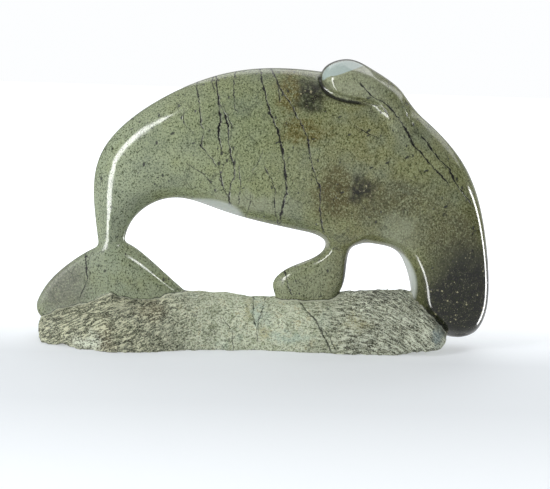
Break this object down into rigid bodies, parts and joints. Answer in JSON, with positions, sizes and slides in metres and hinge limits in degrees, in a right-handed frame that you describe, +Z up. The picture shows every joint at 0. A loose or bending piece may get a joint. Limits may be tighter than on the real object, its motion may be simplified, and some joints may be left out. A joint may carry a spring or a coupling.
{
  "type": "whale carving",
  "caption": "Stone carving of a whale arching over a rough foot, its flukes, flipper and head growing out of the same block; stands by its own weight as an ornament.",
  "frame": {"origin": "middle of the flat underside of the rough foot, on the table", "axes": "+X from the flukes to the head along the carving's length, +Z up, -Y the carved front"},
  "size_m": [0.3992, 0.1023, 0.2502],
  "materials": {
    "serpentine": "green-grey serpentine, hand polished on the whale, split and tooled on the foot"
  },
  "bodies": {
    "root": {"whale_carving": "serpentine"}
  },
  "joints": []
}
